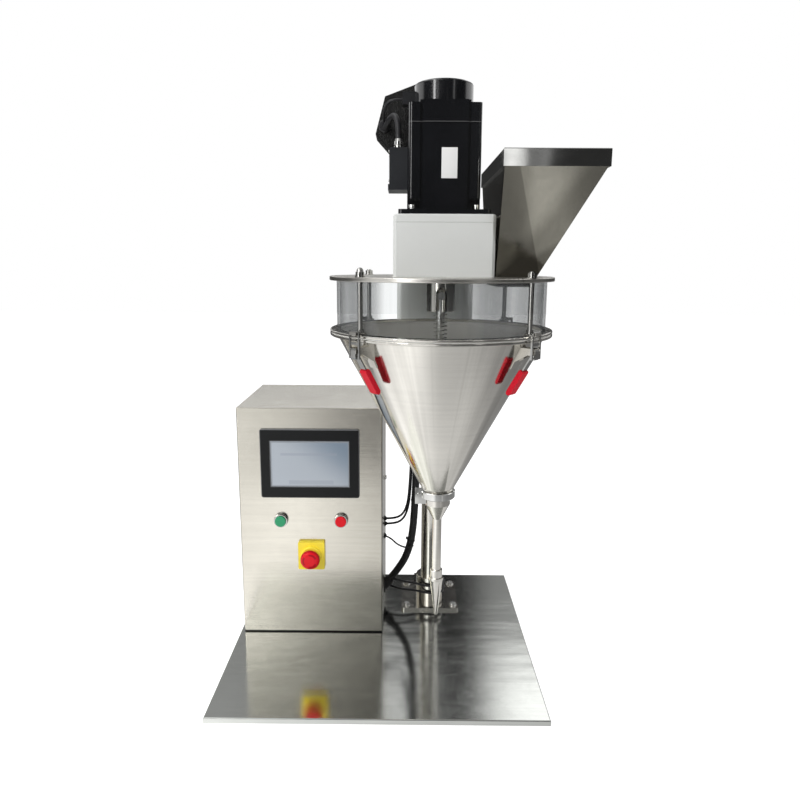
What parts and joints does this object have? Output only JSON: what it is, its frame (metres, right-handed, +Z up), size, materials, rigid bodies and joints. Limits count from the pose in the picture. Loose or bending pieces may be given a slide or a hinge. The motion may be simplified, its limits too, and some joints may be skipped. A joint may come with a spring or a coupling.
{
  "type": "auger powder filler",
  "caption": "Bench-top auger powder filler: conical hopper with a clear drum under a servo motor, on a column beside a steel control box, all on a folded steel tray.",
  "frame": {"origin": "middle of the tray's footprint on the bench", "axes": "+X to the operator's right, +Y to the back, +Z up along the auger"},
  "size_m": [0.6568, 0.591, 1.104],
  "materials": {
    "sheet_steel": "satin",
    "polished_steel": "gloss",
    "cast_grey": "satin",
    "motor_black": "gloss",
    "black_plastic": "matte",
    "rubber_black": "matte",
    "clear_acrylic": "gloss",
    "screen_glass": "gloss",
    "green_plastic": "gloss",
    "red_plastic": "gloss",
    "yellow_plastic": "gloss",
    "seal_silicone": "matte"
  },
  "bodies": {
    "frame": {"base_tray": "sheet_steel", "base_stiffener": "sheet_steel", "control_box_shell": "sheet_steel", "box_rear_door": "sheet_steel", "column_foot": "sheet_steel", "column_tube": "sheet_steel", "hopper_cone": "sheet_steel", "cover_plate": "sheet_steel", "drum_ring": "sheet_steel", "motor_shroud": "sheet_steel", "feed_chute": "sheet_steel", "start_button_rim": "polished_steel", "stop_button_rim": "polished_steel", "ferrule_clamp": "polished_steel", "spout_tube": "polished_steel", "fill_nozzle": "polished_steel", "terminal_gland": "polished_steel", "head_bracket": "cast_grey", "gearbox_housing": "cast_grey", "gearbox_lid": "cast_grey", "servo_motor": "motor_black", "motor_rear_cap": "motor_black", "terminal_box": "motor_black", "hmi_bezel": "black_plastic", "encoder_plug": "black_plastic", "shroud_grommet": "rubber_black", "cable_inlet": "rubber_black", "cable_bundle": "rubber_black", "sensor_lead_a": "rubber_black", "sensor_lead_b": "rubber_black", "power_cable": "rubber_black", "signal_cable": "rubber_black", "clear_drum": "clear_acrylic", "hmi_screen": "screen_glass", "estop_guard": "yellow_plastic", "hopper_seal": "seal_silicone", "tie_rod_front_left": "polished_steel", "tie_rod_front_right": "polished_steel", "tie_rod_back_right": "polished_steel", "tie_rod_back_left": "polished_steel"},
    "auger": {"drive_hub": "sheet_steel", "drive_pin": "polished_steel", "auger_screw": "polished_steel"},
    "lever_front_left": {"latch_lever_front_left": "polished_steel", "latch_grip_front_left": "red_plastic"},
    "bail_front_left": {"latch_bail_front_left": "polished_steel"},
    "lever_front_right": {"latch_lever_front_right": "polished_steel", "latch_grip_front_right": "red_plastic"},
    "bail_front_right": {"latch_bail_front_right": "polished_steel"},
    "lever_back_right": {"latch_lever_back_right": "polished_steel", "latch_grip_back_right": "red_plastic"},
    "bail_back_right": {"latch_bail_back_right": "polished_steel"},
    "lever_back_left": {"latch_lever_back_left": "polished_steel", "latch_grip_back_left": "red_plastic"},
    "bail_back_left": {"latch_bail_back_left": "polished_steel"},
    "start_button": {"start_button_cap": "green_plastic"},
    "stop_button": {"stop_button_cap": "red_plastic"},
    "estop_plunger": {"estop_stem": "black_plastic"},
    "estop_mushroom": {"estop_head": "red_plastic"},
    "lid": {"chute_lid": "polished_steel"}
  },
  "joints": [
    {"name": "auger_spin", "type": "hinge", "parent": "frame", "child": "auger", "pos_m": [0.107, -0.133, 0.7], "axis": [0, 0, 1], "continuous": true},
    {"name": "latch_front_left", "type": "hinge", "parent": "frame", "child": "lever_front_left", "pos_m": [-0.03301, -0.27301, 0.658], "axis": [-0.7071, 0.7071, 0], "range_deg": [0, 100]},
    {"name": "bail_front_left", "type": "hinge", "parent": "lever_front_left", "child": "bail_front_left", "pos_m": [-0.03301, -0.27301, 0.649], "axis": [-0.7071, 0.7071, 0], "range_deg": [-77, 0]},
    {"name": "latch_front_right", "type": "hinge", "parent": "frame", "child": "lever_front_right", "pos_m": [0.24701, -0.27301, 0.658], "axis": [-0.7071, -0.7071, 0], "range_deg": [0, 100]},
    {"name": "bail_front_right", "type": "hinge", "parent": "lever_front_right", "child": "bail_front_right", "pos_m": [0.24701, -0.27301, 0.649], "axis": [-0.7071, -0.7071, 0], "range_deg": [-77, 0]},
    {"name": "latch_back_right", "type": "hinge", "parent": "frame", "child": "lever_back_right", "pos_m": [0.24701, 0.00701, 0.658], "axis": [0.7071, -0.7071, 0], "range_deg": [0, 100]},
    {"name": "bail_back_right", "type": "hinge", "parent": "lever_back_right", "child": "bail_back_right", "pos_m": [0.24701, 0.00701, 0.649], "axis": [0.7071, -0.7071, 0], "range_deg": [-77, 0]},
    {"name": "latch_back_left", "type": "hinge", "parent": "frame", "child": "lever_back_left", "pos_m": [-0.03301, 0.00701, 0.658], "axis": [0.7071, 0.7071, 0], "range_deg": [0, 100]},
    {"name": "bail_back_left", "type": "hinge", "parent": "lever_back_left", "child": "bail_back_left", "pos_m": [-0.03301, 0.00701, 0.649], "axis": [0.7071, 0.7071, 0], "range_deg": [-77, 0]},
    {"name": "start_press", "type": "slide", "parent": "frame", "child": "start_button", "axis": [0, 1, 0], "range_m": [0, 0.004], "stiffness_N_per_m": 500},
    {"name": "stop_press", "type": "slide", "parent": "frame", "child": "stop_button", "axis": [0, 1, 0], "range_m": [0, 0.004], "stiffness_N_per_m": 500},
    {"name": "estop_press", "type": "slide", "parent": "frame", "child": "estop_plunger", "axis": [0, 1, 0], "range_m": [0, 0.004]},
    {"name": "estop_twist", "type": "hinge", "parent": "estop_plunger", "child": "estop_mushroom", "pos_m": [-0.1475, -0.017, 0.189], "axis": [0, 1, 0], "range_deg": [0, 45], "stiffness_Nm_per_rad": 0.05},
    {"name": "lid_lift", "type": "slide", "parent": "frame", "child": "lid", "axis": [0, 0, 1], "range_m": [0, 0.06]}
  ],
  "couplings": [
    {"joint": "bail_front_left", "follows": "latch_front_left", "ratio": -0.76923},
    {"joint": "bail_front_right", "follows": "latch_front_right", "ratio": -0.76923},
    {"joint": "bail_back_right", "follows": "latch_back_right", "ratio": -0.76923},
    {"joint": "bail_back_left", "follows": "latch_back_left", "ratio": -0.76923}
  ]
}
